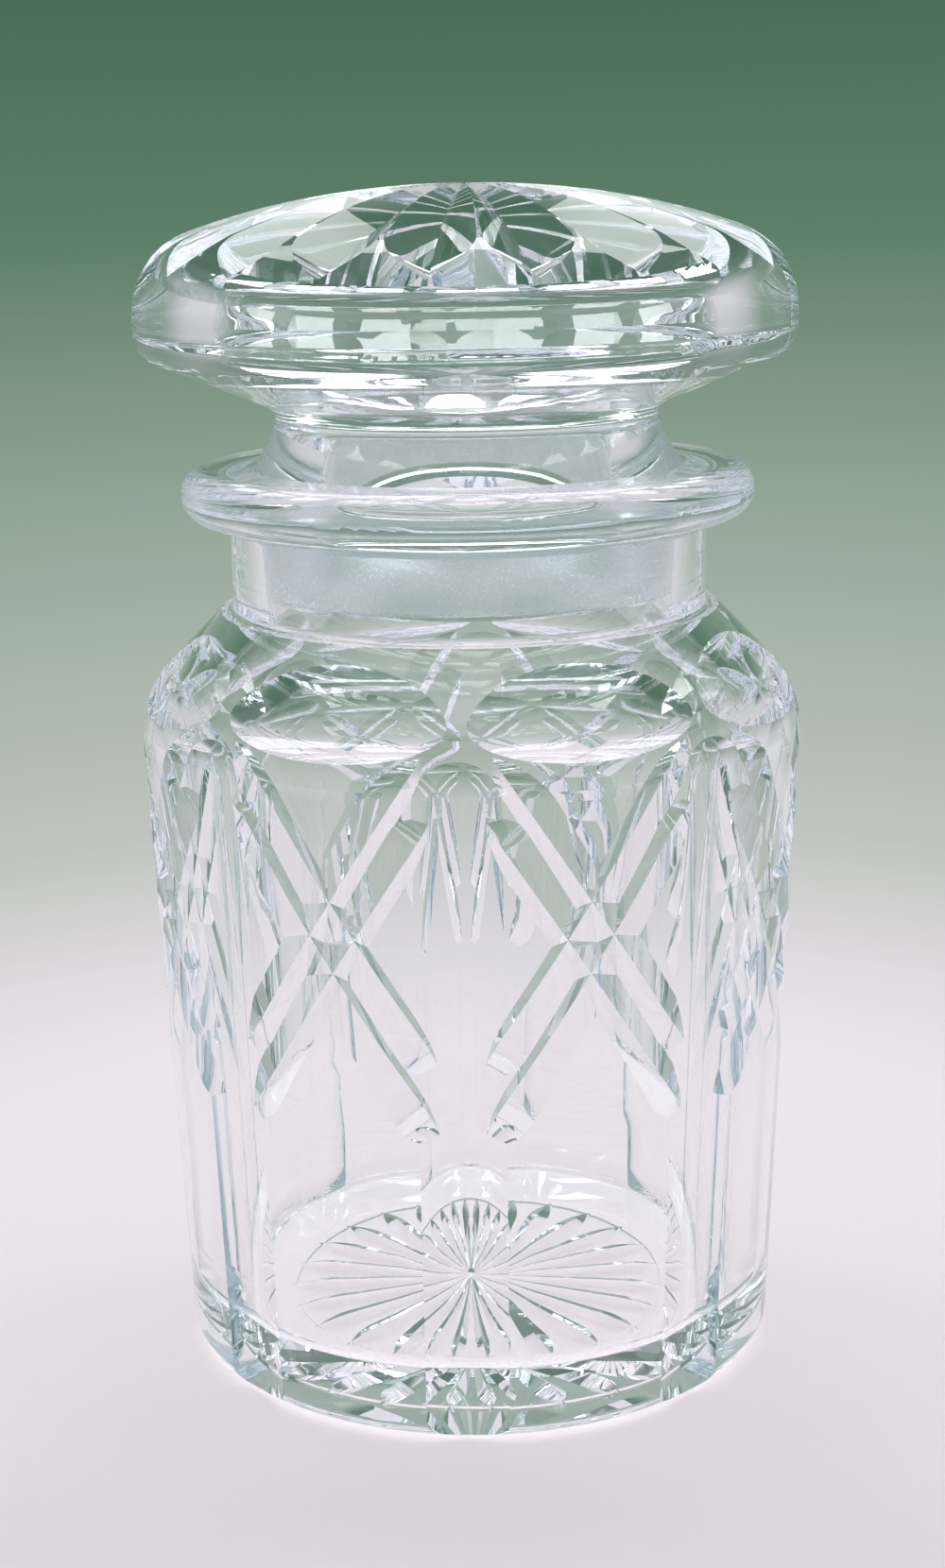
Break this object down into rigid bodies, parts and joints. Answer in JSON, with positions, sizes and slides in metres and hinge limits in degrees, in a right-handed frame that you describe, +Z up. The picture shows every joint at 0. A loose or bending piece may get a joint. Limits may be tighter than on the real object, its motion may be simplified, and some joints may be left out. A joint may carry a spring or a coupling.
{
  "type": "lidded glass jar",
  "caption": "Round cut-glass storage jar with fluted, cross-cut sides, a star-cut base and a lift-off hollow stopper lid whose ground plug closes the tapered mouth.",
  "frame": {"origin": "centre of the base, on the surface the jar stands on", "axes": "+Z up along the jar's axis; -Y is the front, a flute faces it; +X to the right of the front"},
  "size_m": [0.1018, 0.1018, 0.1812],
  "materials": {
    "jar_glass": "clear crystal, wheel-cut and polished",
    "lid_glass": "clear crystal, wheel-cut and polished, plug ground matt"
  },
  "bodies": {
    "jar": {"jar_body": "jar_glass"},
    "lid": {"stopper_lid": "lid_glass"}
  },
  "joints": [
    {"name": "lid_lift", "type": "slide", "parent": "jar", "child": "lid", "axis": [0, 0, 1], "range_m": [0, 0.07]}
  ]
}
